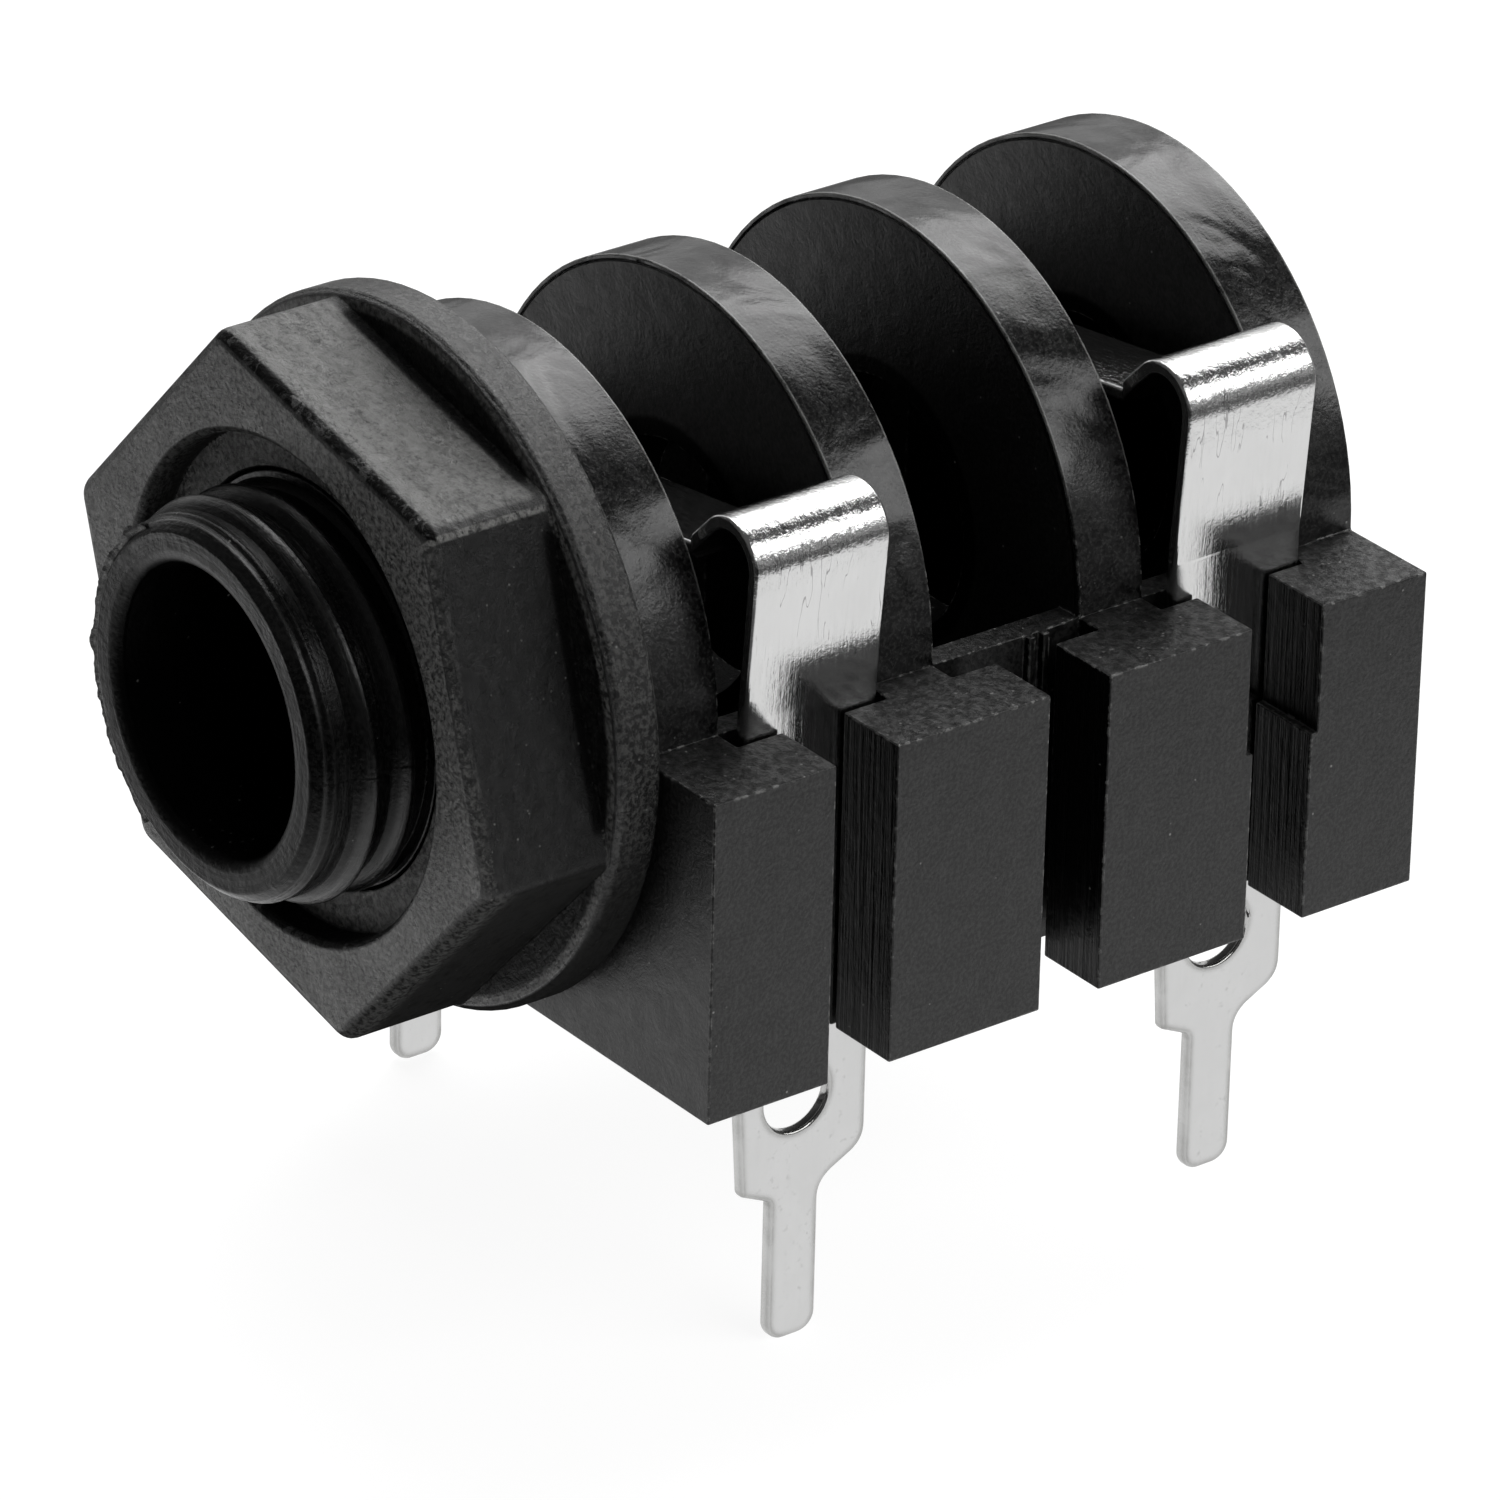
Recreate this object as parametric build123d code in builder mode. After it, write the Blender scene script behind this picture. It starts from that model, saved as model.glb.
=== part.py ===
from build123d import *
import math
import os

# Plug hole: the plug runs along Y and goes in at the nose, which points to -Y
plug_d = 6.35
plug_clearance = 0.075
mouth_r = 3.65
mouth_edge = 0.35
lead_in_l = 2.0
tip_seat_depth = 1.55

# Spring strip, the same stock for every contact
strip_t = 0.35
strip_w = 3.94

# Housing: a base with four upright walls and three chambers between them
contact_pitch = 6.35
chamber_count = 3
strip_play = 0.23
front_wall_t = 2.25
rear_wall_t = 2.15
wall_r = 7.75
inner_wall_t = 0.75
block_t = 2.1
base_h = 8.44
floor_t = 1.3

# Strip pockets behind the side blocks, and the slots that part the blocks
pocket_depth = 0.75
pocket_gap = 0.08
pocket_play = 0.25
slot_w = 1.8
slot_lead_w = 2.2
slot_lead_h = 3.4
rib_w = 0.2
rib_steps = (0.65, 1.08)

# Nose: the thread stands on the core, which is bare in front of the nut's seat
nose_l = 7.05
thread_r = 5.1
core_r = 4.75
rim_r = 4.65
rim_l = 0.35
rim_edge = 0.25

# Nut: a round flange, a hexagon with soft corners and a round front recess
nut_play = 0.06
nut_gap = 0.18
nut_l = 4.68
flange_r = 8.87
flange_t = 1.28
flange_edge = 0.15
hex_flats = 15.2
hex_corner_r = 0.6
hex_edge = 0.4
hex_turn = -12.8
recess_r = 6.2
recess_depth = 0.9
recess_edge = 0.15

# Spring contacts: a leg, a top bend, a slope and a finger over the plug's path
leg_top_z = 0.4
leg_lean = 4.8
bend_top_z = 5.48
bend_r = 1.14
slope_angle = 46
finger_angle = 7.75
finger_w = 2.3
finger_taper = 0.8
finger_end_x = -5.0
finger_bend_r = 0.8
plug_lift = 0.57
rear_lift = 0.55
rear_setback = 0.18

# Break contacts: a low tongue under the end of the finger
tongue_gap = 0.05
tongue_w = 2.9
tongue_root = 1.6
tongue_end_x = -3.9
tongue_bend_r = 0.9

# Solder tails, measured down from the base
tail_l = 8.16
hole_drop = 1.56
hole_r = 0.95
curve_drop = 2.96
shoulder_drop = 3.86
shoulder_fall = 0.4
shoulder_inset = 0.25
pin_drop = 4.6
pin_w = 1.45
pin_corner_r = 0.5
spring_pin_shift = -0.13
break_pin_shift = -0.6

bore_r = plug_d / 2 + plug_clearance
chamber_w = strip_w + 2 * strip_play
first_chamber_y = front_wall_t + chamber_w / 2
chamber_ys = [first_chamber_y + i * contact_pitch for i in range(chamber_count)]
wall_starts = [0] + [y + chamber_w / 2 for y in chamber_ys]
body_l = wall_starts[-1] + rear_wall_t
wall_ends = [y - chamber_w / 2 for y in chamber_ys] + [body_l]
tip_seat_y = wall_starts[-1] + tip_seat_depth
pocket_x = wall_r + pocket_depth
base_w = 2 * (pocket_x + block_t)
pocket_w = strip_w + 2 * pocket_play
strip_x = pocket_x - pocket_gap
nut_front = nut_gap + nut_l
nut_seat = nut_front - recess_depth

# The housing is one moulding, so it is one solid
with BuildPart() as housing:
    with BuildSketch():
        with Locations((0, body_l / 2)):
            Rectangle(base_w, body_l)
    extrude(amount=-base_h)
    # upright walls, round about the plug axis
    for start, end in zip(wall_starts, wall_ends):
        with BuildSketch(Plane.XZ.offset(-start)):
            Circle(wall_r)
        extrude(amount=start - end)
    # nose with its lead-in rim, turned about the plug axis
    with BuildSketch():
        with BuildLine():
            Polyline(
                (0, 0),
                (thread_r, 0),
                (thread_r, -nut_seat),
                (core_r, -nut_seat),
                (core_r, rim_l + core_r - rim_r - nose_l),
                (rim_r, rim_l - nose_l),
                (rim_r, rim_edge - nose_l),
                (rim_r - rim_edge, -nose_l),
                (0, -nose_l),
                close=True,
            )
        make_face()
    revolve(axis=Axis.Y)
    # chambers, open at the top
    with BuildSketch(Plane.XY.offset(floor_t - base_h)):
        with Locations([(0, y) for y in chamber_ys]):
            Rectangle(2 * (wall_r - inner_wall_t), chamber_w)
    extrude(amount=base_h, mode=Mode.SUBTRACT)
    # strip pockets on both sides, open at the top and at the bottom
    with BuildSketch():
        with Locations([(side * (wall_r + pocket_x) / 2, y) for side in (-1, 1) for y in chamber_ys]):
            Rectangle(pocket_depth, pocket_w)
    extrude(amount=-base_h, mode=Mode.SUBTRACT)
    # slots from the pockets to the outside, wider at the top of the rear pair
    slot_xs = [side * (pocket_x + block_t / 2) for side in (-1, 1)]
    with BuildSketch():
        with Locations([(x, y) for x in slot_xs for y in chamber_ys]):
            Rectangle(block_t, slot_w)
    extrude(amount=-base_h, mode=Mode.SUBTRACT)
    with BuildSketch():
        with Locations([(x, chamber_ys[-1]) for x in slot_xs]):
            Rectangle(block_t, slot_lead_w)
    extrude(amount=-slot_lead_h, mode=Mode.SUBTRACT)
    # two thin ribs on each inner wall of the empty middle chamber
    with BuildSketch():
        with Locations(
            [(side * (wall_r + rib_w / 2), chamber_ys[1] + step) for side in (-1, 1) for step in rib_steps]
        ):
            Rectangle(rib_w, rib_w)
    extrude(amount=-base_h)
    # plug hole through the nose and the walls, as far as the tip's seat in the rear wall
    with BuildSketch(Plane.XZ.offset(nose_l)):
        Circle(bore_r)
    extrude(amount=-nose_l - tip_seat_y, mode=Mode.SUBTRACT)
    # the hole widens towards its mouth
    with BuildSketch(Plane.XZ.offset(nose_l - lead_in_l)):
        Circle(bore_r)
    with BuildSketch(Plane.XZ.offset(nose_l)):
        Circle(mouth_r)
    loft(mode=Mode.SUBTRACT)
    mouth = housing.edges().filter_by(GeomType.CIRCLE).group_by(Axis.Y)[0].sort_by(SortBy.RADIUS)[0]
    fillet(mouth, radius=mouth_edge)
housing.part.label = "housing"

# The nut is one piece with its flange
with BuildPart() as hex_nut:
    with BuildSketch(Plane.XZ.offset(nut_gap)):
        Circle(flange_r)
    extrude(amount=flange_t)
    chamfer(hex_nut.edges().filter_by(GeomType.CIRCLE), length=flange_edge)
    with BuildSketch(Plane.XZ.offset(nut_gap)) as hexagon:
        RegularPolygon(hex_flats / 2, 6, major_radius=False, rotation=hex_turn)
        fillet(hexagon.vertices(), radius=hex_corner_r)
    extrude(amount=nut_l)
    fillet(hex_nut.faces().sort_by(Axis.Y)[0].edges(), radius=hex_edge)
    with BuildSketch(Plane.XZ.offset(nut_seat)):
        Circle(recess_r)
    extrude(amount=recess_depth, mode=Mode.SUBTRACT)
    chamfer(hex_nut.faces().sort_by(Axis.Y)[0].inner_wires()[0].edges(), length=recess_edge)
    with BuildSketch(Plane.XZ.offset(nut_gap)):
        Circle(thread_r + nut_play)
    extrude(amount=nut_l, mode=Mode.SUBTRACT)
hex_nut.part.label = "hex_nut"


# Height of the finger's top face above the plug axis at a given x
def finger_top(x):
    over_axis = plug_d / 2 + strip_t / math.cos(tilt) - plug_lift
    return over_axis + x * math.tan(tilt)


# Straight stretches of a leg with its solder tail, seen along X; a curve joins their two ends
def tail_outline(side, pin_shift):
    half = strip_w / 2
    shoulder_z = -shoulder_drop - base_h
    outline = [
        (half, -curve_drop - base_h),
        (half, bend_top_z),
        (-half, bend_top_z),
        (-half, -base_h),
        (shoulder_inset - half, shoulder_z),
        (pin_shift - pin_w / 2, shoulder_z - shoulder_fall),
        (pin_shift - pin_w / 2, tail_end_z),
        (pin_shift + pin_w / 2, tail_end_z),
        (pin_shift + pin_w / 2, -pin_drop - base_h),
    ]
    return [(side * y, z) for y, z in outline]


# Outline of a strip from above: full width as far as root_x, then narrower to its end
def plan_outline(outer_x, root_x, neck_x, end_x, end_w):
    front = [
        (outer_x, -strip_w / 2),
        (root_x, -strip_w / 2),
        (neck_x, -end_w / 2),
        (end_x, -end_w / 2),
    ]
    return front + [(x, -y) for x, y in reversed(front)]


# One folded strip, given by its side view, its tail and its view from above;
# side is +1 for a strip in a right-hand pocket and -1 for one in a left-hand pocket
def contact_strip(side, y, lift, path, radii, plan, pin_shift):
    seen_from_front = Plane(origin=(0, y, lift), x_dir=(1, 0, 0), z_dir=(0, -1, 0))
    seen_from_side = Plane(origin=(0, y, lift), x_dir=(0, 1, 0), z_dir=(1, 0, 0))
    seen_from_above = Plane(origin=(0, y, lift))
    with BuildPart() as strip:
        with BuildSketch(seen_from_front):
            with BuildLine():
                FilletPolyline(*path, radius=radii)
                offset(amount=strip_t, side=Side.LEFT if side > 0 else Side.RIGHT)
            make_face()
        extrude(amount=strip_w / 2, both=True)
        with BuildSketch(seen_from_side) as tail:
            with BuildLine():
                edge = Polyline(*tail_outline(side, pin_shift))
                Spline(edge @ 0, edge @ 1, tangents=((0, -1), (0, -1)))
            make_face()
            fillet(tail.vertices().group_by(Axis.Y)[0], radius=pin_corner_r)
            with Locations((side * pin_shift, -hole_drop - base_h)):
                Circle(hole_r, mode=Mode.SUBTRACT)
        extrude(amount=apex_x, both=True, mode=Mode.INTERSECT)
        with BuildSketch(seen_from_above) as outline:
            with BuildLine():
                Polyline(*plan, close=True)
            make_face()
            fillet(outline.vertices().group_by(Axis.X)[0 if side > 0 else -1], radius=pin_corner_r)
        extrude(amount=-tail_end_z, both=True, mode=Mode.INTERSECT)
    return strip


tail_end_z = -tail_l - base_h
lean = math.radians(leg_lean)
slope = math.radians(slope_angle)
tilt = math.radians(finger_angle)
# centre of the top bend, and the corner where leg and slope would meet without it
bend_z = bend_top_z - bend_r
bend_x = strip_x + (bend_z - bend_r * math.sin(lean) - leg_top_z) * math.tan(lean) - bend_r * math.cos(lean)
corner_angle = (math.pi / 2 + slope - lean) / 2
corner_reach = bend_r / math.cos((math.pi / 2 + slope + lean) / 2)
apex_x = bend_x + corner_reach * math.cos(corner_angle)
apex_z = bend_z + corner_reach * math.sin(corner_angle)
# knee where the slope meets the finger
knee_x = (finger_top(0) - apex_z + apex_x * math.tan(slope)) / (math.tan(slope) - math.tan(tilt))
spring_path = [
    (strip_x, tail_end_z),
    (strip_x, leg_top_z),
    (apex_x, apex_z),
    (knee_x, finger_top(knee_x)),
    (finger_end_x, finger_top(finger_end_x)),
]
tongue_drop = strip_t / math.cos(tilt) + tongue_gap
tongue_path = [
    (-strip_x, tail_end_z),
    (-strip_x, finger_top(-strip_x) - tongue_drop),
    (tongue_end_x, finger_top(tongue_end_x) - tongue_drop),
]
spring_plan = plan_outline(apex_x, knee_x + finger_taper, knee_x, finger_end_x, finger_w)
tongue_neck_x = tongue_root - strip_x
tongue_plan = plan_outline(-apex_x, tongue_neck_x - finger_taper, tongue_neck_x, tongue_end_x, tongue_w)

os.makedirs("parts", exist_ok=True)
export_step(housing.part, "parts/housing.step")
export_step(hex_nut.part, "parts/hex_nut.step")

# Front and rear chambers hold one spring and one break contact each; the rear pair sits
# a little higher and further back
spring_radii = [bend_r, bend_r, finger_bend_r]
for name, y, lift in (("sleeve", chamber_ys[0], 0), ("tip", chamber_ys[-1] + rear_setback, rear_lift)):
    spring = contact_strip(1, y, lift, spring_path, spring_radii, spring_plan, spring_pin_shift)
    spring.part.label = f"{name}_spring"
    export_step(spring.part, f"parts/{name}_spring.step")
    rest = contact_strip(-1, y, lift, tongue_path, tongue_bend_r, tongue_plan, break_pin_shift)
    rest.part.label = f"{name}_break_contact"
    export_step(rest.part, f"parts/{name}_break_contact.step")
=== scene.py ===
import math
import random

import bmesh
import bpy
from mathutils import Matrix, Vector


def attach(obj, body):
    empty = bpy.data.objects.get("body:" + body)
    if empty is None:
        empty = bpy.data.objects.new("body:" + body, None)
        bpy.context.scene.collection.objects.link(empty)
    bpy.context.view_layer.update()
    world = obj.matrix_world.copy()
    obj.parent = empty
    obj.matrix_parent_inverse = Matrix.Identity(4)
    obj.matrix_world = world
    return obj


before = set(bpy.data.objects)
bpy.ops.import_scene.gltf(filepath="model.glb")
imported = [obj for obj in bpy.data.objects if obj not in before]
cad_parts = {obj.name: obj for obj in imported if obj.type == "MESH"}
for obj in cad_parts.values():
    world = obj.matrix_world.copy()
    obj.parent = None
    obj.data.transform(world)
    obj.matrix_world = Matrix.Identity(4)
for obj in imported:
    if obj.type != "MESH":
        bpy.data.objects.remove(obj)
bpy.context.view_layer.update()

MM = 0.001

# Camera: it looks at the object from the front right, a little rolled
CAMERA_AZIMUTH = math.radians(52.39)
CAMERA_ELEVATION = math.radians(27.153)
CAMERA_ROLL = math.radians(1.321)
CAMERA_TARGET = Vector((3.058, 6.797, -3.715)) * MM
CAMERA_DISTANCE = 252.16 * MM
CAMERA_LENS = 251.63
CAMERA_CLIP = (0.01, 10)

# Studio: a dark room with a bright wall at the back left and a dim one at the back right, and
# two soft lights behind the object with a dark gap between them
OBJECT_CENTRE = Vector((0, 7, -4)) * MM
SOFTBOX_DISTANCE = 0.6
# power of a soft light for each unit of its radiance and each square metre
SOFTBOX_POWER = 4
ROOM_LEVEL = 0.09
# direction, angle of full strength, angle of no strength, strength
ROOM_LOBES = (
    ((-0.78, 0.58, 0.22), 28, 48, 0.75),
    ((0.80, 0.60, 0.0), 10, 22, 0.35),
)
# name, direction, size, radiance
SOFTBOXES = (
    ("left_softbox", (-0.33, 0.42, 0.80), (0.40, 0.72), 3.0),
    ("right_softbox", (0.70, 0.38, 0.52), (0.26, 0.62), 2.4),
)

# Main sizes of the moulding and the nut, in millimetres. The plug's axis is the Y axis, and the
# nose points to -Y.
NOSE_END_Y = -7.05
RIM_END_Y = -6.7
NUT_FRONT_Y = -4.86
NUT_SEAT_Y = -3.96
FLANGE_FRONT_Y = -1.8
REAR_Y = 21.5
MOUTH_R = 3.65
BORE_R = 3.85
BAND_R = 4.33
RIM_R = 4.65
CORE_R = 4.75
THREAD_R = 5.05
RECESS_R = 6.45
WALL_R = 7.75
FLANGE_R = 8.87
BASE_TOP_Z = 0.0
FLOOR_Z = -16.6

# Where finishes change: the dull left of the nose's band, the parting line on its right, the
# hexagon's corner with its painted highlight, and the strips' feet, top bends and tails, which are
# painted darker as shade
LEFT_X = -2.8
SEAM_X = 4.0
CORNER_R = 8.25
CORNER_ANGLE = math.radians(46.2)
LEG_FOOT_Z = 0.4
BEND_Z = 3.8
TAIL_Z = -0.65

# Rounded edges: faces within this angle of one plane are merged, and edges sharper than this
# are rounded
MERGE_ANGLE = math.radians(0.3)
SHARP_ANGLE = math.radians(32)

# Floor: how far it reaches, how white the camera sees it, and how it fades in mirror images
FLOOR_HALF = 2.0
FLOOR_SEEN_STRENGTH = 1.27
FLOOR_SEEN_SHARE = 0.72
POOL_CENTRE = (0, 7, FLOOR_Z)
POOL_EDGE = (48, 78)
POOL_LEVELS = (0.92, 0.15)
POOL_FRONT = (0.6, -0.8, 0)
POOL_FRONT_EDGE = (22, 40)
POOL_FRONT_LEVELS = (1, 0.08)

# Thread: a right-hand ridge whose front end fades out behind the rim. Its crest is at THREAD_Y
# on the +X side, and it sits a little low on the core. The profile goes along Y, from root to
# crest and back.
THREAD_PITCH = 1.05
THREAD_PROFILE = ((-0.31, 0.0), (-0.27, 0.3), (0.1, 0.9), (0.2, 1.0), (0.26, 0.96), (0.42, 0.0))
THREAD_Y = -5.79
THREAD_DROP = 0.05
THREAD_DEPTH_IN_CORE = 0.1
THREAD_START_TURN = 0.58
THREAD_TURNS_PAST_SEAT = 0.6
THREAD_FADE_STEPS = 34
STEPS_PER_TURN = 120

# Moulding flash: a thin ragged fringe round the left of the rim's front edge, with two lumps
FLASH_SEED = 11
FLASH_TURNS = (0.34, 0.66)
FLASH_STEPS = 90
FLASH_ROOT_R = RIM_R - 0.3
FLASH_MEAN_R = RIM_R - 0.06
FLASH_FRONT_Y = NOSE_END_Y + 0.05
FLASH_HEIGHT_LIMIT = 0.16
# height, place along the fringe, width
FLASH_LUMPS = ((0.16, 0.5, 0.025), (0.1, 0.08, 0.03))

# Reflectances of the materials
HOUSING_COLORS = {
    "dark": (0.001, 0.001, 0.0011),
    "light": (0.018, 0.018, 0.0175),
    # painted shade: near-black for the bore, the nose and the faces between the side blocks
    "black": (0.001, 0.001, 0.001),
    # pale for worn edges and specks, and for the highlight painted along the rims' upper edges
    "worn": (0.4, 0.4, 0.39),
}
NUT_COLORS = {
    "dark": (0.001, 0.001, 0.0011),
    "light": (0.035, 0.035, 0.034),
    # the front face, painted paler as light
    "front": (0.165, 0.165, 0.16),
    # the top flat, painted paler as light
    "top": (0.17, 0.17, 0.165),
    # a painted highlight along the top flat's front edge
    "rim": (0.05, 0.05, 0.048),
    "lip": (0.2, 0.2, 0.195),
    # near-black painted shade
    "black": (0.001, 0.001, 0.001),
    # the lighter part of the painted shade on the flats that look down
    "low": (0.028, 0.028, 0.0275),
    # the front parts of the flats that look down, painted paler as light
    "low_front": (0.09, 0.09, 0.088),
    "worn": (0.22, 0.22, 0.21),
}
METAL_COLORS = {
    "hazy": (0.66, 0.66, 0.655),
    "clean": (0.76, 0.76, 0.76),
    # the tails' tone, painted darker as shade
    "tail": (0.3, 0.3, 0.3),
    # tarnish for blotches on the tails, and a painted dark reflection for the lines along their
    # edges
    "tarnish": (0.3, 0.3, 0.29),
    "scratch": (0.2, 0.2, 0.2),
}
PAPER_COLORS = ((0.8, 0.8, 0.8), (0.82, 0.82, 0.82))
PLASTIC_IOR = 1.5


# Camera


def add_camera():
    azimuth = Vector((math.cos(CAMERA_AZIMUTH), math.sin(CAMERA_AZIMUTH), 0))
    back = Vector(
        (
            math.sin(CAMERA_AZIMUTH) * math.cos(CAMERA_ELEVATION),
            -math.cos(CAMERA_AZIMUTH) * math.cos(CAMERA_ELEVATION),
            math.sin(CAMERA_ELEVATION),
        )
    )
    level_up = back.cross(azimuth)
    right = azimuth * math.cos(CAMERA_ROLL) + level_up * math.sin(CAMERA_ROLL)
    up = level_up * math.cos(CAMERA_ROLL) - azimuth * math.sin(CAMERA_ROLL)
    data = bpy.data.cameras.new("camera")
    data.lens = CAMERA_LENS
    data.clip_start, data.clip_end = CAMERA_CLIP
    camera = bpy.data.objects.new("camera", data)
    bpy.context.scene.collection.objects.link(camera)
    turn = Matrix((right, up, back)).transposed()
    place = Matrix.Translation(CAMERA_TARGET + back * CAMERA_DISTANCE)
    camera.matrix_world = place @ turn.to_4x4()
    bpy.context.scene.camera = camera


# Node helpers


def is_socket(value):
    return isinstance(value, bpy.types.NodeSocket)


def add_node(tree, kind, inputs=(), **settings):
    """A new node; its inputs are given as sockets to link or as plain values."""
    node = tree.nodes.new(kind)
    for name, value in settings.items():
        setattr(node, name, value)
    for name, value in dict(inputs).items():
        if is_socket(value):
            tree.links.new(value, node.inputs[name])
        else:
            node.inputs[name].default_value = value
    return node


def new_tree(owner):
    owner.use_nodes = True
    owner.node_tree.nodes.clear()
    return owner.node_tree


def new_material(name):
    material = bpy.data.materials.new(name)
    return material, new_tree(material)


def add_surface(tree, inputs):
    shader = add_node(tree, "ShaderNodeBsdfPrincipled", inputs)
    add_node(tree, "ShaderNodeOutputMaterial", {"Surface": shader.outputs["BSDF"]})


def math_node(tree, operation, a, b=0.0):
    return add_node(tree, "ShaderNodeMath", {0: a, 1: b}, operation=operation).outputs[0]


def absolute(tree, value):
    return math_node(tree, "ABSOLUTE", value)


def product(tree, first, *others):
    for value in others:
        first = math_node(tree, "MULTIPLY", first, value)
    return first


def largest(tree, first, *others):
    for value in others:
        first = math_node(tree, "MAXIMUM", first, value)
    return first


def dot(tree, a, b):
    node = add_node(tree, "ShaderNodeVectorMath", {0: a, 1: b}, operation="DOT_PRODUCT")
    return node.outputs["Value"]


def length(tree, vector):
    node = add_node(tree, "ShaderNodeVectorMath", {0: vector}, operation="LENGTH")
    return node.outputs["Value"]


def mix_values(tree, factor, a, b):
    return add_node(tree, "ShaderNodeMix", {0: factor, 2: a, 3: b}).outputs[0]


def mix_vectors(tree, factor, a, b):
    node = add_node(tree, "ShaderNodeMix", {0: factor, 4: a, 5: b}, data_type="VECTOR")
    return node.outputs[1]


def mix_colors(tree, factor, a, b):
    a, b = (color if is_socket(color) else (*color, 1) for color in (a, b))
    return add_node(tree, "ShaderNodeMix", {0: factor, 6: a, 7: b}, data_type="RGBA").outputs[2]


def mix_shaders(tree, factor, a, b):
    return add_node(tree, "ShaderNodeMixShader", {0: factor, 1: a, 2: b}).outputs["Shader"]


def remap(tree, value, low, high, to_low=0.0, to_high=1.0):
    inputs = {
        "Value": value,
        "From Min": low,
        "From Max": high,
        "To Min": to_low,
        "To Max": to_high,
    }
    steps = {"interpolation_type": "SMOOTHSTEP"}
    return add_node(tree, "ShaderNodeMapRange", inputs, **steps).outputs["Result"]


def above(tree, value, limit, soft):
    """1 above the limit and 0 below it; the step reaches this far to either side."""
    return remap(tree, value, limit - soft, limit + soft)


def below(tree, value, limit, soft):
    """1 below the limit and 0 above it; the step reaches this far to either side."""
    return remap(tree, value, limit + soft, limit - soft)


def within(tree, value, middle, reach, soft):
    """1 where the value lies less than the reach from the middle."""
    apart = absolute(tree, math_node(tree, "SUBTRACT", value, middle))
    return below(tree, apart, reach, soft)


def object_normal(tree):
    return add_node(tree, "ShaderNodeTexCoord").outputs["Normal"]


def true_normal(tree):
    return add_node(tree, "ShaderNodeNewGeometry").outputs["Normal"]


def bevel_normal(tree, radius, samples):
    """The normal, rounded off within the given distance of an edge."""
    node = add_node(tree, "ShaderNodeBevel", {"Radius": radius * MM}, samples=samples)
    return node.outputs["Normal"]


def edge_mask(tree, radius, flat=0.995, full=0.85):
    """1 along sharp edges, falling to 0 at the given distance from them."""
    facing = dot(tree, bevel_normal(tree, radius, 4), true_normal(tree))
    return remap(tree, facing, flat, full)


def bump(tree, height, depth, normal=None):
    """A bump whose depth in millimetres may be a number or a mask."""
    if is_socket(depth):
        height = product(tree, height, depth)
        depth = 1
    inputs = {"Height": height, "Strength": 1.0, "Distance": depth * MM}
    if normal is not None:
        inputs["Normal"] = normal
    return add_node(tree, "ShaderNodeBump", inputs).outputs["Normal"]


# Places and textures


def in_millimetres(tree, stretch=(1, 1, 1)):
    place = add_node(tree, "ShaderNodeTexCoord").outputs["Object"]
    scale = [s / MM for s in stretch]
    return add_node(tree, "ShaderNodeMapping", {"Vector": place, "Scale": scale}).outputs["Vector"]


def axes_of(tree, place):
    parts = add_node(tree, "ShaderNodeSeparateXYZ", {"Vector": place}).outputs
    return parts["X"], parts["Y"], parts["Z"]


def about_axis(tree, place):
    """Distance from the plug's axis in millimetres, and the angle about it."""
    x, _, z = axes_of(tree, place)
    flat = add_node(tree, "ShaderNodeCombineXYZ", {"X": x, "Y": z}).outputs["Vector"]
    return length(tree, flat), math_node(tree, "ARCTAN2", z, x)


def turned(tree, place, along, around, outward):
    """A place for noise that runs round the plug's axis."""
    radius, angle = about_axis(tree, place)
    inputs = {
        "X": product(tree, angle, around),
        "Y": product(tree, axes_of(tree, place)[1], along),
        "Z": product(tree, radius, outward),
    }
    return add_node(tree, "ShaderNodeCombineXYZ", inputs).outputs["Vector"]


def noise(tree, vector, scale, detail=3.0, rough=0.55, distortion=0.0):
    inputs = {
        "Vector": vector,
        "Scale": scale,
        "Detail": detail,
        "Roughness": rough,
        "Distortion": distortion,
    }
    return add_node(tree, "ShaderNodeTexNoise", inputs).outputs["Fac"]


def specks(tree, place, scale, size, where):
    """Small round spots, kept where the given mask is high."""
    inputs = {"Vector": place, "Scale": scale}
    spots = add_node(tree, "ShaderNodeTexVoronoi", inputs).outputs["Distance"]
    return product(tree, remap(tree, spots, size, size * 0.4), where)


# Glossy black plastic of the moulding


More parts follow.
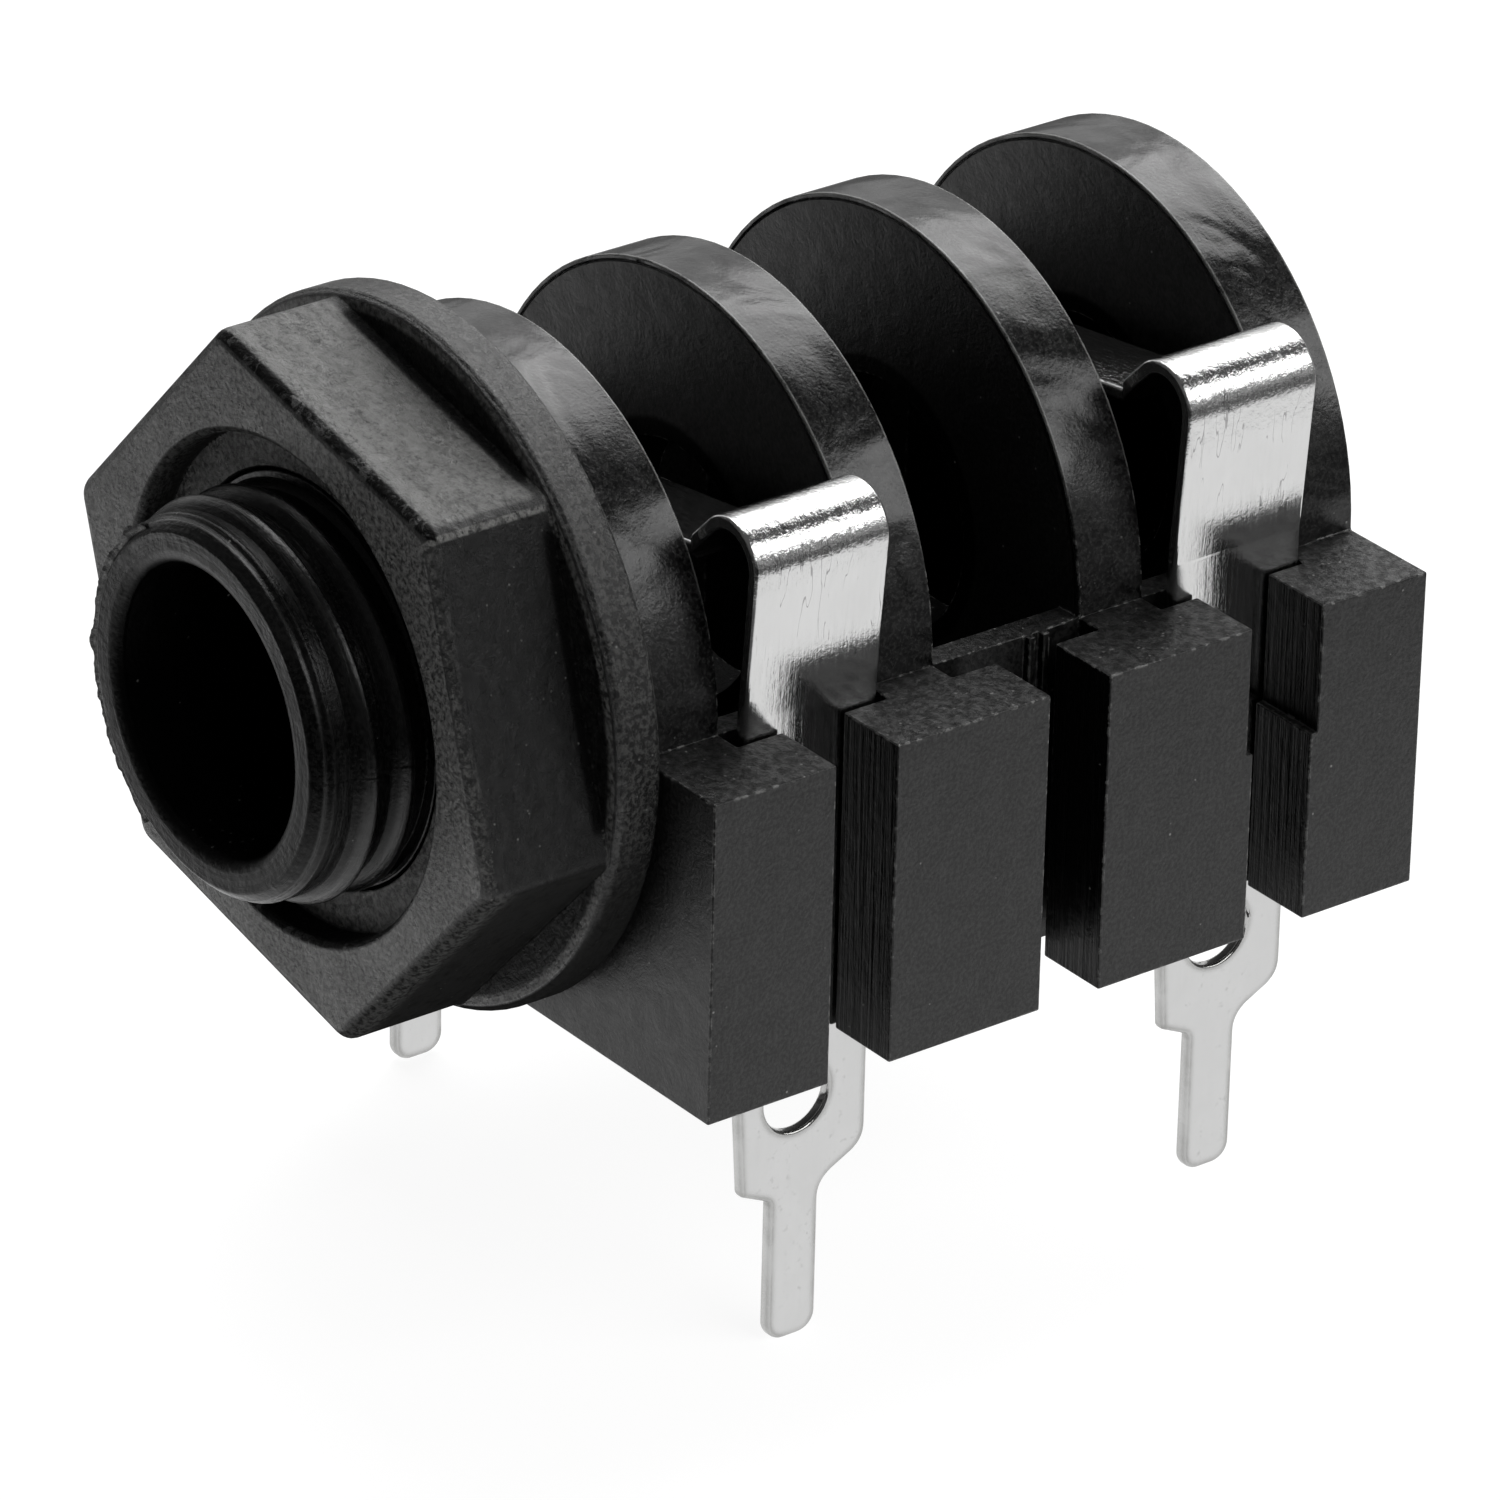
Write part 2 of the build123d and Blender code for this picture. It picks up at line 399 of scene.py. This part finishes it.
def housing_zones(tree, place):
    """Masks of the moulding's zones."""
    x, y, z = axes_of(tree, place)
    radius = about_axis(tree, place)[0]
    _, toward, upward = axes_of(tree, object_normal(tree))
    ahead_of_nut = below(tree, y, NUT_SEAT_Y + 0.2, 0.2)
    not_rear_face = below(tree, y, REAR_Y - 0.2, 0.1)
    bore = product(tree, below(tree, radius, MOUTH_R + 0.1, 0.1), not_rear_face)
    nose = product(tree, ahead_of_nut, above(tree, radius, BORE_R, 0.1))
    # the groove between the rim and the thread
    neck = product(
        tree,
        nose,
        below(tree, radius, (CORE_R + THREAD_R) / 2, 0.05),
        above(tree, y, RIM_END_Y - 0.05, 0.05),
    )
    # the nose's front end, duller towards its lower half, and the left of its outer band
    rim_front = below(tree, y, RIM_END_Y - 0.1, 0.05)
    ring = product(tree, rim_front, remap(tree, z, 3.5, 2, 0.35, 0.85))
    left_band = product(
        tree,
        ahead_of_nut,
        below(tree, x, LEFT_X, 0.4),
        within(tree, radius, BAND_R, 0.19, 0.05),
    )
    # the mould's parting line on the nose's right
    seam = product(
        tree,
        ahead_of_nut,
        within(tree, z, 0, 0.035, 0.015),
        above(tree, x, SEAM_X, 0.1),
    )
    # the side blocks' faces that look along the axis, between the blocks, where shade is also
    # painted
    sides = product(
        tree,
        above(tree, absolute(tree, toward), 0.875, 0.075),
        above(tree, absolute(tree, x), WALL_R + 0.025, 0.025),
        above(tree, y, 0.75, 0.25),
        not_rear_face,
    )
    tops = product(
        tree,
        above(tree, upward, 0.935, 0.035),
        below(tree, z, BASE_TOP_Z + 0.25, 0.05),
    )
    wall_rims = product(
        tree,
        above(tree, radius, WALL_R - 0.15, 0.05),
        above(tree, z, BASE_TOP_Z + 0.01, 0.01),
    )
    # the upper parts of the rims' edges, where a highlight is painted as a pale line
    wall_edges = product(
        tree,
        edge_mask(tree, 0.09, 0.999, 0.95),
        above(tree, radius, WALL_R - 0.085, 0.035),
        remap(tree, z, 2, 5.5),
    )
    return {
        "bore": bore,
        "left_band": left_band,
        "neck": neck,
        "nose": nose,
        "rim_front": rim_front,
        "ring": ring,
        "seam": seam,
        "sides": sides,
        "tops": tops,
        "wall_edges": wall_edges,
        "wall_rims": wall_rims,
    }


def housing_textures(tree, place):
    return {
        "crumbs": noise(tree, place, 4, detail=3, rough=0.6),
        "drawn": noise(tree, in_millimetres(tree, (7, 1.5, 0.16)), 1.0, detail=4, rough=0.65),
        "grain": noise(tree, place, 10, detail=4, rough=0.65),
        "mottle": noise(tree, place, 1.5, detail=6, rough=0.7, distortion=0.4),
        "patches": noise(tree, place, 0.35, detail=2, rough=0.45, distortion=0.6),
        "rings": noise(tree, turned(tree, place, 7, 1.3, 7), 1.0, detail=4, rough=0.65),
    }


def housing_dullness(tree, zones, textures):
    """Where the moulding mirrors little: in the bore, between the blocks and on their tops."""
    lines = mix_values(tree, remap(tree, textures["drawn"], 0.45, 0.62), 1.0, 0.88)
    crumbs = remap(tree, textures["crumbs"], 0.62, 0.4)
    return largest(
        tree,
        zones["bore"],
        zones["ring"],
        product(tree, zones["neck"], 0.7),
        product(tree, zones["left_band"], 0.75),
        product(tree, zones["seam"], 0.9),
        product(tree, zones["sides"], lines),
        product(tree, zones["tops"], crumbs, 0.8),
    )


def housing_wear(tree, place, zones, textures):
    """Pale specks, chipped edges, and a highlight painted as a pale line along the upper edges of
    the walls' rims.
    """
    mottle, crumbs = textures["mottle"], textures["crumbs"]
    speck = specks(tree, place, 2.2, 0.1, remap(tree, mottle, 0.52, 0.6))
    on_tops = product(tree, zones["tops"], remap(tree, mottle, 0.5, 0.58))
    flecks = specks(tree, place, 4.5, 0.22, on_tops)
    less_on_nose = mix_values(tree, zones["nose"], 1.0, 0.35)
    return largest(
        tree,
        product(tree, speck, 0.6),
        product(tree, flecks, 0.4),
        product(tree, edge_mask(tree, 0.09), remap(tree, crumbs, 0.5, 0.6), less_on_nose),
        # the painted highlight along the upper edges of the walls' rims
        product(tree, zones["wall_edges"], remap(tree, mottle, 0.36, 0.46), 0.9),
    )


def housing_color(tree, zones, textures, wear):
    colors = HOUSING_COLORS
    grain = remap(tree, textures["grain"], 0.4, 0.62)
    color = mix_colors(tree, grain, colors["dark"], colors["light"])
    # painted shade: the bore, the nose and the faces between the side blocks are darkened towards
    # near-black
    black = largest(
        tree,
        zones["bore"],
        product(tree, zones["nose"], 0.6),
        product(tree, zones["sides"], 0.9),
    )
    color = mix_colors(tree, black, color, colors["black"])
    # pale wear, and the painted highlight on the rims' upper edges
    return mix_colors(tree, wear, color, colors["worn"])


def housing_roughness(tree, zones, textures, wear):
    matte = remap(tree, textures["mottle"], 0.3, 0.7, 0.34, 0.44)
    satin = remap(tree, textures["mottle"], 0.35, 0.68, 0.1, 0.24)
    lined = remap(tree, textures["drawn"], 0.35, 0.65, 0.12, 0.32)
    ringed = remap(tree, textures["rings"], 0.35, 0.65, 0.16, 0.34)
    rough = mix_values(tree, zones["wall_rims"], matte, satin)
    rough = mix_values(tree, zones["sides"], rough, lined)
    rough = mix_values(tree, zones["nose"], rough, ringed)
    return math_node(tree, "ADD", rough, product(tree, wear, 0.15))


def housing_normal(tree, zones, textures):
    normal = bump(tree, product(tree, textures["patches"], zones["wall_rims"]), 0.25)
    normal = bump(tree, product(tree, textures["drawn"], zones["sides"]), 0.05, normal)
    normal = bump(tree, product(tree, textures["rings"], zones["nose"]), 0.016, normal)
    normal = bump(tree, product(tree, textures["crumbs"], zones["rim_front"]), 0.025, normal)
    smoother = mix_values(tree, zones["wall_rims"], 0.03, 0.014)
    normal = bump(tree, textures["mottle"], smoother, normal)
    coarser = mix_values(tree, zones["tops"], 0.01, 0.05)
    return bump(tree, textures["grain"], coarser, normal)


def housing_plastic():
    material, tree = new_material("moulded_plastic")
    place = in_millimetres(tree)
    zones = housing_zones(tree, place)
    textures = housing_textures(tree, place)
    wear = housing_wear(tree, place, zones, textures)
    dull = housing_dullness(tree, zones, textures)
    inputs = {
        "Base Color": housing_color(tree, zones, textures, wear),
        "Roughness": housing_roughness(tree, zones, textures, wear),
        "Normal": housing_normal(tree, zones, textures),
        "Specular IOR Level": mix_values(tree, dull, 0.5, 0.08),
        "IOR": PLASTIC_IOR,
    }
    add_surface(tree, inputs)
    return material


# Rough plastic of the nut


def nut_textures(tree, place):
    around = turned(tree, place, 2.6, 2.2, 2.6)
    textures = {
        "grain": noise(tree, place, 7, detail=5, rough=0.7),
        "mottle": noise(tree, place, 2.4, detail=6, rough=0.74, distortion=0.4),
        "patches": noise(tree, place, 0.5, detail=4, rough=0.6, distortion=0.5),
        "streaks": noise(tree, around, 1.0, detail=5, rough=0.7, distortion=0.3),
    }
    fine = product(tree, textures["grain"], 0.6)
    coarse = product(tree, textures["streaks"], 0.4)
    textures["cloud"] = math_node(tree, "ADD", fine, coarse)
    return textures


def nut_zones(tree, place, textures):
    """Masks of the nut's faces and edges; the flats are told apart by their normals."""
    y = axes_of(tree, place)[1]
    radius, angle = about_axis(tree, place)
    grain, mottle = textures["grain"], textures["mottle"]
    across, toward, upward = axes_of(tree, object_normal(tree))
    toward = absolute(tree, toward)
    # the top flat, which is painted paler as light
    top = product(
        tree,
        above(tree, upward, 0.875, 0.075),
        below(tree, y, NUT_FRONT_Y + 3.1, 0.1),
    )
    # a painted highlight along the top flat's front edge
    lip = product(
        tree,
        top,
        above(tree, y, NUT_FRONT_Y + 0.375, 0.075),
        below(tree, y, NUT_FRONT_Y + 0.75, 0.1),
    )
    # the flats that look down, which painted shade makes black, and their front parts, which
    # painted light makes paler
    low = below(tree, upward, -0.25, 0.25)
    low_front = product(
        tree,
        low,
        below(tree, y, NUT_FRONT_Y + 0.6, 0.4),
        remap(tree, grain, 0.38, 0.6),
    )
    # the rounded front edge of the hexagon: black with painted shade on its upper flats, pale
    # flecks at its sides
    turn = product(
        tree,
        remap(tree, toward, 0.2, 0.45),
        remap(tree, toward, 0.97, 0.88),
        below(tree, y, NUT_FRONT_Y + 0.76, 0.1),
    )
    shoulder = product(
        tree,
        turn,
        remap(tree, upward, -0.1, 0.05),
        remap(tree, upward, 0.3, 0.15),
        remap(tree, grain, 0.45, 0.6),
    )
    upper_turn = product(
        tree,
        turn,
        remap(tree, upward, 0.3, 0.5),
        remap(tree, mottle, 0.42, 0.48),
    )
    # the walls of the front recess, and the flange's face behind the hexagon, both made black as
    # painted shade
    recess = product(
        tree,
        below(tree, radius, RECESS_R, 0.05),
        below(tree, toward, 0.5, 0.2),
    )
    crevice = product(
        tree,
        above(tree, y, FLANGE_FRONT_Y, 0.1),
        below(tree, radius, FLANGE_R - 0.425, 0.075),
        0.9,
    )
    # the hexagon's upper right corner, a fine bright line painted as a highlight
    corner = product(
        tree,
        within(tree, angle, CORNER_ANGLE, 0.0095, 0.0035),
        above(tree, radius, CORNER_R, 0.05),
        below(tree, y, FLANGE_FRONT_Y + 0.25, 0.05),
        remap(tree, grain, 0.35, 0.6),
        0.8,
    )
    # painted shade on the flats that look down, deepest where the mottle is low
    under = product(tree, low, remap(tree, mottle, 0.75, 0.45, 0.6, 0.95))
    return {
        # painted shade: the upper part of the front edge, the recess walls, the flange's face
        # behind the hexagon and the downward flats
        "black": largest(tree, upper_turn, recess, crevice, under),
        "corner": corner,
        # the front face, which is painted paler as light
        "front": product(tree, above(tree, toward, 0.98, 0.01), remap(tree, grain, 0.35, 0.65)),
        "lip": lip,
        "low": low,
        "low_front": low_front,
        "rim": above(tree, radius, FLANGE_R - 0.1, 0.04),
        "shoulder": shoulder,
        # the right flat, which is painted darker as shade
        "side": above(tree, across, 0.895, 0.045),
        "top": top,
        "under": under,
    }


def nut_wear(tree, place, zones, textures):
    """Pale specks, worn edges, pale flecks at the sides of the front edge and the corner's painted
    highlight, fewer in the painted shade.
    """
    speck = specks(tree, place, 3.2, 0.13, remap(tree, textures["mottle"], 0.47, 0.55))
    edges = product(tree, edge_mask(tree, 0.14), remap(tree, textures["grain"], 0.48, 0.62))
    wear = largest(
        tree,
        product(tree, speck, 0.6),
        product(tree, edges, 0.6),
        zones["corner"],
        product(tree, zones["shoulder"], 0.4),
    )
    return product(tree, wear, remap(tree, zones["black"], 1, 0.6))


def nut_color(tree, zones, textures, wear):
    colors = NUT_COLORS
    cloud, grain = textures["cloud"], textures["grain"]
    # painted shade on the flats that look down: near-black mixed with a little of their own tone
    low = mix_colors(tree, zones["under"], colors["black"], colors["low"])
    # Over the grain: the front and the top flat painted paler as light, the right flat painted
    # darker as shade, the flange rim's own tone, the lip's painted highlight, the painted shade,
    # the downward flats' fronts painted paler as light, and then the wear with its painted
    # highlights
    layers = (
        (zones["front"], colors["front"]),
        (product(tree, zones["side"], 0.8), colors["dark"]),
        (product(tree, zones["top"], remap(tree, cloud, 0.3, 0.6)), colors["top"]),
        (product(tree, zones["rim"], remap(tree, grain, 0.42, 0.62)), colors["rim"]),
        (product(tree, zones["lip"], remap(tree, cloud, 0.35, 0.5), 0.7), colors["lip"]),
        (zones["black"], low),
        (zones["low_front"], colors["low_front"]),
        (wear, colors["worn"]),
    )
    color = mix_colors(tree, remap(tree, cloud, 0.42, 0.62), colors["dark"], colors["light"])
    for mask, layer in layers:
        color = mix_colors(tree, mask, color, layer)
    return color


def nut_roughness(tree, zones, textures):
    matte = remap(tree, textures["patches"], 0.35, 0.65, 0.24, 0.38)
    satin = remap(tree, textures["mottle"], 0.35, 0.65, 0.14, 0.26)
    return mix_values(tree, zones["rim"], matte, satin)


def nut_normal(tree, zones, textures):
    smoother = mix_values(tree, largest(tree, zones["low"], zones["rim"]), 0.1, 0.04)
    normal = bump(tree, textures["streaks"], 0.06)
    normal = bump(tree, textures["mottle"], smoother, normal)
    return bump(tree, textures["grain"], 0.04, normal)


def nut_gloss(tree, zones):
    dull = largest(tree, zones["black"], product(tree, zones["side"], 0.3))
    return product(tree, mix_values(tree, dull, 0.6, 0.1), remap(tree, zones["low"], 0.95, 0))


def nut_plastic():
    material, tree = new_material("rough_plastic")
    place = in_millimetres(tree)
    textures = nut_textures(tree, place)
    zones = nut_zones(tree, place, textures)
    wear = nut_wear(tree, place, zones, textures)
    inputs = {
        "Base Color": nut_color(tree, zones, textures, wear),
        "Roughness": nut_roughness(tree, zones, textures),
        "Normal": nut_normal(tree, zones, textures),
        "Specular IOR Level": nut_gloss(tree, zones),
        "IOR": PLASTIC_IOR,
    }
    add_surface(tree, inputs)
    return material


# Plated metal of the strips


def metal_color(tree, z, haze, dimples):
    """Clean plating with scratches on the legs; the solder tails are painted darker as shade, with
    grey lines along their edges as a painted dark reflection, and tarnish blotches.
    """
    colors = METAL_COLORS
    tail = below(tree, z, TAIL_Z, 0.25)
    hairs = noise(tree, in_millimetres(tree, (1, 3.2, 0.45)), 1.0, detail=2, rough=0.5)
    scratch = product(
        tree,
        within(tree, hairs, 0.5, 0.008, 0.004),
        remap(tree, haze, 0.5, 0.56),
        above(tree, z, 1, 0.5),
        0.6,
    )
    # a painted dark reflection along the tails' rounded edges
    outline = product(
        tree,
        edge_mask(tree, 0.3, 0.9995, 0.97),
        tail,
        remap(tree, haze, 0.35, 0.6, 0.5, 1),
    )
    blotch = product(
        tree,
        remap(tree, dimples, 0.56, 0.72),
        remap(tree, haze, 0.45, 0.6),
        tail,
        0.3,
    )
    color = mix_colors(tree, haze, colors["hazy"], colors["clean"])
    # the tails, painted darker as shade
    color = mix_colors(tree, product(tree, tail, 0.12), color, colors["tail"])
    color = mix_colors(tree, largest(tree, outline, blotch), color, colors["tarnish"])
    return mix_colors(tree, scratch, color, colors["scratch"])


def metal_normal(tree, place, z, drawn, dimples):
    """Fine ripples, coarser on the top bend; the leg turns softly from its pocket to its lean."""
    foot = within(tree, z, LEG_FOOT_Z, 0.525, 0.175)
    normal = mix_vectors(tree, foot, true_normal(tree), bevel_normal(tree, 0.5, 8))
    bend = above(tree, z, BEND_Z, 0.4)
    normal = bump(tree, drawn, mix_values(tree, bend, 0.005, 0.022), normal)
    normal = bump(tree, dimples, mix_values(tree, bend, 0.002, 0.018), normal)
    return bump(tree, noise(tree, place, 9, detail=3), 0.002, normal)


def plated_metal():
    material, tree = new_material("plated_strip")
    place = in_millimetres(tree)
    z = axes_of(tree, place)[2]
    haze = noise(tree, place, 0.6, detail=4, rough=0.6, distortion=0.6)
    drawn = noise(tree, in_millimetres(tree, (1.6, 6, 0.5)), 1.6, detail=4, rough=0.65)
    dimples = noise(tree, place, 4.5, detail=4, rough=0.65)
    inputs = {
        "Base Color": metal_color(tree, z, haze, dimples),
        "Roughness": remap(tree, drawn, 0.3, 0.7, 0.07, 0.17),
        "Normal": metal_normal(tree, place, z, drawn, dimples),
        "Metallic": 1,
    }
    add_surface(tree, inputs)
    return material


# Dressing the CAD nodes


def soften(node, width, segments):
    """Round the node's edges by a width in millimetres, once its flat faces are merged."""
    weld = node.modifiers.new("weld", "WELD")
    weld.merge_threshold = 0.0005 * MM
    merge = node.modifiers.new("merge", "DECIMATE")
    merge.decimate_type = "DISSOLVE"
    merge.angle_limit = MERGE_ANGLE
    edges = node.modifiers.new("edges", "BEVEL")
    edges.width = width * MM
    edges.segments = segments
    edges.limit_method = "ANGLE"
    edges.angle_limit = SHARP_ANGLE
    edges.use_clamp_overlap = False
    edges.miter_outer = "MITER_ARC"
    normals = node.modifiers.new("normals", "WEIGHTED_NORMAL")
    normals.keep_sharp = False
    normals.weight = 90


def dress(name, material, width, segments=2):
    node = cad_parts[name]
    node.data.materials.clear()
    node.data.materials.append(material)
    soften(node, width, segments)


# Pieces


def axis_point(radius, angle, y, drop=0.0):
    """A point in metres, from a radius and an angle about the plug's axis."""
    return Vector((radius * math.cos(angle), y, radius * math.sin(angle) - drop)) * MM


def object_from(bm, name, material, body):
    bmesh.ops.recalc_face_normals(bm, faces=bm.faces)
    bm.normal_update()
    mesh = bpy.data.meshes.new(name)
    bm.to_mesh(mesh)
    bm.free()
    for face in mesh.polygons:
        face.use_smooth = True
    mesh.materials.append(material)
    piece = bpy.data.objects.new(name, mesh)
    bpy.context.scene.collection.objects.link(piece)
    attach(piece, body)
    return piece


def join_sections(bm, sections):
    """Close the skin between the sections, and cap both ends."""
    for a, b in zip(sections, sections[1:]):
        for k in range(len(a)):
            after = (k + 1) % len(a)
            bm.faces.new((a[k], a[after], b[after], b[k]))
    bm.faces.new(reversed(sections[0]))
    bm.faces.new(sections[-1])


def thread_ridge(material):
    bm = bmesh.new()
    turns = THREAD_START_TURN + (NUT_SEAT_Y - THREAD_Y) / THREAD_PITCH + THREAD_TURNS_PAST_SEAT
    root = CORE_R - THREAD_DEPTH_IN_CORE
    sections = []
    for i in range(int(turns * STEPS_PER_TURN) + 1):
        turn = THREAD_START_TURN - i / STEPS_PER_TURN
        y = THREAD_Y - turn * THREAD_PITCH
        rise = min(1, i / THREAD_FADE_STEPS)
        rise = rise * rise * (3 - 2 * rise)
        height = (THREAD_R - root) * rise
        section = []
        for dy, part in THREAD_PROFILE:
            radius = root + part * height
            place = axis_point(radius, turn * 2 * math.pi, max(y + dy, RIM_END_Y), THREAD_DROP)
            section.append(bm.verts.new(place))
        sections.append(section)
    join_sections(bm, sections)
    piece = object_from(bm, "nose_thread", material, "socket")
    normals = piece.modifiers.new("normals", "WEIGHTED_NORMAL")
    normals.weight = 80


def rim_flash(material):
    random.seed(FLASH_SEED)
    bm = bmesh.new()
    first, last = FLASH_TURNS
    height = 0.0
    sections = []
    for i in range(FLASH_STEPS + 1):
        part = i / FLASH_STEPS
        angle = (first + (last - first) * part) * 2 * math.pi
        height = 0.7 * height + 0.3 * random.uniform(0, 0.5)
        lump = sum(h * math.exp(-(((part - at) / width) ** 2)) for h, at, width in FLASH_LUMPS)
        radius = FLASH_MEAN_R + min(height * 0.5, FLASH_HEIGHT_LIMIT) + lump
        front = FLASH_FRONT_Y + random.uniform(0, 0.04)
        profile = (
            (FLASH_ROOT_R, front + 0.1),
            (radius - 0.03, front),
            (radius, front + 0.06),
            (radius - 0.03, front + 0.14),
            (FLASH_ROOT_R, front + 0.3),
        )
        sections.append([bm.verts.new(axis_point(r, angle, y)) for r, y in profile])
    join_sections(bm, sections)
    object_from(bm, "rim_flash", material, "socket")


# Light and stage


def add_softbox(name, direction, size, radiance):
    """A soft light at a direction from the object; its first size runs along the arc over it."""
    data = bpy.data.lights.new(name, "AREA")
    data.shape = "RECTANGLE"
    data.size, data.size_y = size
    data.energy = radiance * size[0] * size[1] * SOFTBOX_POWER
    lamp = bpy.data.objects.new(name, data)
    bpy.context.scene.collection.objects.link(lamp)
    away = Vector(direction).normalized()
    across = away.cross(Vector((0, 1, 0))).normalized()
    turn = Matrix((across, away.cross(across), away)).transposed()
    place = Matrix.Translation(OBJECT_CENTRE + away * SOFTBOX_DISTANCE)
    lamp.matrix_world = place @ turn.to_4x4()
    lamp.visible_camera = False


def lobe(tree, direction, middle, inner, outer, strength):
    """0 outside the outer angle from a direction, and the strength inside the inner one."""
    near = dot(tree, direction, Vector(middle).normalized())
    limits = [math.cos(math.radians(angle)) for angle in (outer, inner)]
    return remap(tree, near, *limits, 0, strength)


def add_world():
    """The room lights the object, and the camera sees plain white."""
    world = bpy.data.worlds.new("studio")
    bpy.context.scene.world = world
    tree = new_tree(world)
    seen = add_node(tree, "ShaderNodeLightPath").outputs["Is Camera Ray"]
    direction = add_node(tree, "ShaderNodeTexCoord").outputs["Generated"]
    level = ROOM_LEVEL
    for settings in ROOM_LOBES:
        level = math_node(tree, "ADD", level, lobe(tree, direction, *settings))
    shaders = []
    for strength in (level, 1.0):
        node = add_node(tree, "ShaderNodeBackground", {"Strength": strength})
        node.inputs["Color"].default_value = (1, 1, 1, 1)
        shaders.append(node.outputs["Background"])
    add_node(tree, "ShaderNodeOutputWorld", {"Surface": mix_shaders(tree, seen, *shaders)})


def pool_of_light(tree, place):
    """How bright mirrors see the floor: it fades outwards, and sooner at the front right."""
    inputs = {0: place, 1: POOL_CENTRE}
    offset = add_node(tree, "ShaderNodeVectorMath", inputs, operation="SUBTRACT").outputs["Vector"]
    return product(
        tree,
        remap(tree, length(tree, offset), *POOL_EDGE, *POOL_LEVELS),
        remap(tree, dot(tree, offset, POOL_FRONT), *POOL_FRONT_EDGE, *POOL_FRONT_LEVELS),
    )


def floor_paper():
    """White paper that keeps the object's shadow, with its own brightness in mirror images."""
    material, tree = new_material("floor_paper")
    path = add_node(tree, "ShaderNodeLightPath").outputs
    place = in_millimetres(tree)
    color = mix_colors(tree, noise(tree, place, 0.4), *PAPER_COLORS)
    paper = add_node(tree, "ShaderNodeBsdfDiffuse", {"Color": color}).outputs["BSDF"]
    glow, mirrored = (
        add_node(tree, "ShaderNodeEmission", {"Strength": strength}).outputs["Emission"]
        for strength in (FLOOR_SEEN_STRENGTH, pool_of_light(tree, place))
    )
    seen = product(tree, path["Is Camera Ray"], FLOOR_SEEN_SHARE)
    surface = mix_shaders(tree, seen, paper, glow)
    surface = mix_shaders(tree, path["Is Glossy Ray"], surface, mirrored)
    add_node(tree, "ShaderNodeOutputMaterial", {"Surface": surface})
    return material


def add_floor():
    mesh = bpy.data.meshes.new("floor")
    corners = [(-1, -1), (1, -1), (1, 1), (-1, 1)]
    points = [(x * FLOOR_HALF, y * FLOOR_HALF, FLOOR_Z * MM) for x, y in corners]
    mesh.from_pydata(points, [], [(0, 1, 2, 3)])
    mesh.materials.append(floor_paper())
    floor = bpy.data.objects.new("floor", mesh)
    bpy.context.scene.collection.objects.link(floor)


add_camera()
bpy.context.scene.view_settings.view_transform = "Standard"
plastic = housing_plastic()
rough = nut_plastic()
metal = plated_metal()
dress("housing", plastic, 0.045)
dress("hex_nut", rough, 0.06)
for name in ("sleeve_spring", "tip_spring", "sleeve_break_contact", "tip_break_contact"):
    dress(name, metal, 0.1, 3)
thread_ridge(plastic)
rim_flash(rough)
add_world()
add_floor()
for settings in SOFTBOXES:
    add_softbox(*settings)
